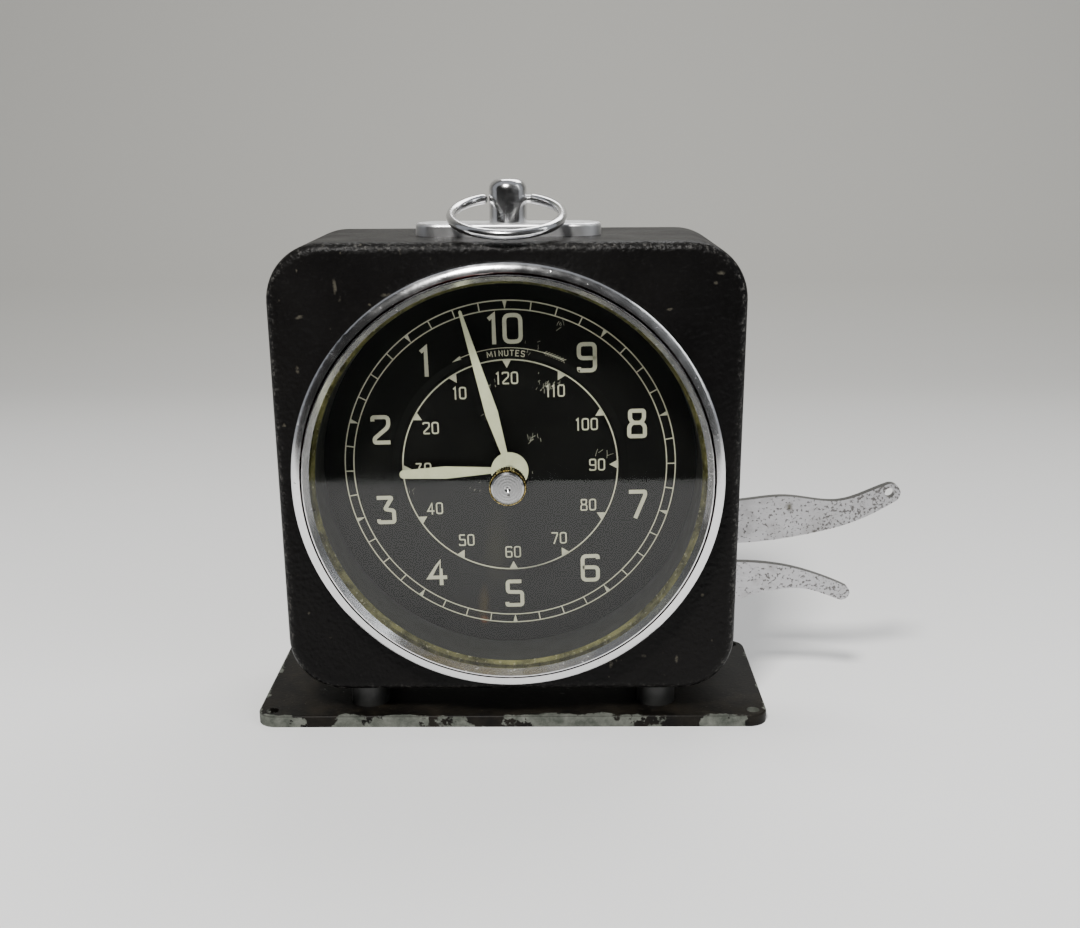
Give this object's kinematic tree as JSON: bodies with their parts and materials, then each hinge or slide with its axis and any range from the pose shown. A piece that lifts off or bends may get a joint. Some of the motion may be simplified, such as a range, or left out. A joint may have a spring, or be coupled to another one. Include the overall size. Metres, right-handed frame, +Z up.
{
  "type": "laboratory interval timer",
  "caption": "Square-cased mechanical interval timer on a flat base, with a round countdown dial, side start and stop levers, and a hanging ring on top.",
  "frame": {"origin": "centre of the base plate's underside, in the middle of its four screw holes", "axes": "+Z up, the dial faces -Y, +X to the right of someone facing the dial"},
  "size_m": [0.1694, 0.0698, 0.1362],
  "materials": {
    "case_paint": "black crackle paint",
    "base_paint": "worn black paint, chipped at the edges",
    "chrome_plate": "polished",
    "plated_steel": "dull plated",
    "window_glass": "clear",
    "tarnished_brass": "tarnished",
    "black_enamel": "satin black",
    "dial_black": "satin black with cream print",
    "lume_cream": "matte cream",
    "brass_plate": "brushed",
    "bell_metal": "turned",
    "steel": "machined"
  },
  "bodies": {
    "case": {"base_plate": "base_paint", "base_spacers": "black_enamel", "base_screws": "steel", "base_nuts": "steel", "case_shell": "case_paint", "rear_cover": "case_paint", "rear_cover_screws": "steel", "front_posts": "steel", "rear_posts": "steel", "bezel": "chrome_plate", "bezel_lock_ring": "steel", "glass": "window_glass", "glass_ring": "tarnished_brass", "sight_ring": "black_enamel", "dial": "dial_black", "dial_feet": "brass_plate", "minute_stud": "steel", "front_plate": "brass_plate", "back_plate": "brass_plate", "pillars": "brass_plate", "pillar_screws": "steel", "lever_studs": "steel", "lever_springs": "steel", "top_plate": "chrome_plate", "pendant": "chrome_plate", "top_nuts": "steel", "bell": "bell_metal", "bell_stud": "brass_plate", "bell_screw": "steel", "hammer_stud": "steel", "click_stud": "steel"},
    "hand_arbor": {"hand_arbor": "steel", "setting_knob": "chrome_plate", "long_hand": "lume_cream", "cannon_pinion": "steel", "clutch_washer": "brass_plate"},
    "minute_wheel": {"minute_pinion": "steel", "minute_wheel": "brass_plate"},
    "hour_wheel": {"hour_wheel": "brass_plate", "short_hand": "lume_cream"},
    "barrel": {"barrel": "brass_plate", "barrel_cover": "brass_plate", "mainspring": "steel"},
    "centre_wheel": {"centre_pinion": "steel", "centre_wheel": "brass_plate"},
    "third_wheel": {"third_pinion": "steel", "third_wheel": "brass_plate"},
    "escape_wheel": {"escape_pinion": "steel", "escape_wheel": "brass_plate"},
    "pallet_lever": {"pallet_lever": "steel"},
    "balance": {"balance_wheel": "brass_plate", "hairspring": "steel"},
    "start_lever": {"start_lever": "plated_steel"},
    "stop_lever": {"stop_lever": "plated_steel"},
    "bow": {"bow": "chrome_plate"},
    "winding_arbor": {"barrel_arbor": "steel", "ratchet_wheel": "steel", "winding_key": "steel"},
    "click": {"click": "steel"},
    "hammer": {"hammer": "steel"}
  },
  "joints": [
    {"name": "hand_setting", "type": "hinge", "parent": "case", "child": "hand_arbor", "pos_m": [0, -0.0256, 0.0662], "axis": [0, -1, 0], "continuous": true},
    {"name": "minute_wheel_turn", "type": "hinge", "parent": "case", "child": "minute_wheel", "pos_m": [0.0072, -0.0256, 0.05373], "axis": [0, -1, 0], "continuous": true},
    {"name": "short_hand_turn", "type": "hinge", "parent": "case", "child": "hour_wheel", "pos_m": [0, -0.0256, 0.0662], "axis": [0, -1, 0], "continuous": true},
    {"name": "centre_wheel_turn", "type": "hinge", "parent": "case", "child": "centre_wheel", "pos_m": [0, -0.0256, 0.0662], "axis": [0, -1, 0], "continuous": true},
    {"name": "barrel_turn", "type": "hinge", "parent": "case", "child": "barrel", "pos_m": [-0.02079, -0.0256, 0.04541], "axis": [0, -1, 0], "continuous": true},
    {"name": "third_wheel_turn", "type": "hinge", "parent": "case", "child": "third_wheel", "pos_m": [-0.01556, -0.0256, 0.08176], "axis": [0, -1, 0], "continuous": true},
    {"name": "escape_wheel_turn", "type": "hinge", "parent": "case", "child": "escape_wheel", "pos_m": [-0.00676, -0.0256, 0.097], "axis": [0, -1, 0], "continuous": true},
    {"name": "pallet_rock", "type": "hinge", "parent": "case", "child": "pallet_lever", "pos_m": [0.00426, -0.0256, 0.09405], "axis": [0, -1, 0], "range_deg": [-3, 3]},
    {"name": "balance_swing", "type": "hinge", "parent": "case", "child": "balance", "pos_m": [0.01778, -0.0256, 0.09042], "axis": [0, -1, 0], "range_deg": [-220, 220], "stiffness_Nm_per_rad": 0.00002},
    {"name": "start_lever_press", "type": "hinge", "parent": "case", "child": "start_lever", "pos_m": [0.047, -0.0256, 0.0479], "axis": [0, 1, 0], "range_deg": [0, 7], "stiffness_Nm_per_rad": 0.05, "springref_deg": -28.65},
    {"name": "stop_lever_press", "type": "hinge", "parent": "case", "child": "stop_lever", "pos_m": [0.047, -0.0256, 0.0313], "axis": [0, -1, 0], "range_deg": [0, 6], "stiffness_Nm_per_rad": 0.05, "springref_deg": -28.65},
    {"name": "bow_swing", "type": "hinge", "parent": "case", "child": "bow", "pos_m": [0, -0.00235, 0.1313], "axis": [-1, 0, 0], "range_deg": [0, 211]},
    {"name": "winding", "type": "hinge", "parent": "case", "child": "winding_arbor", "pos_m": [-0.02079, -0.0256, 0.04541], "axis": [0, -1, 0], "continuous": true},
    {"name": "click_lift", "type": "hinge", "parent": "case", "child": "click", "pos_m": [-0.00579, -0.0256, 0.04041], "axis": [0, -1, 0], "range_deg": [-8, 0]},
    {"name": "hammer_swing", "type": "hinge", "parent": "case", "child": "hammer", "pos_m": [0.035, -0.0256, 0.0422], "axis": [0, -1, 0], "range_deg": [0, 12]}
  ],
  "couplings": [
    {"joint": "minute_wheel_turn", "follows": "hand_setting", "ratio": -0.33333},
    {"joint": "short_hand_turn", "follows": "hand_setting", "ratio": 0.083333},
    {"joint": "escape_wheel_turn", "follows": "third_wheel_turn", "ratio": -10},
    {"joint": "centre_wheel_turn", "follows": "third_wheel_turn", "ratio": -0.1},
    {"joint": "barrel_turn", "follows": "third_wheel_turn", "ratio": 0.016667}
  ]
}
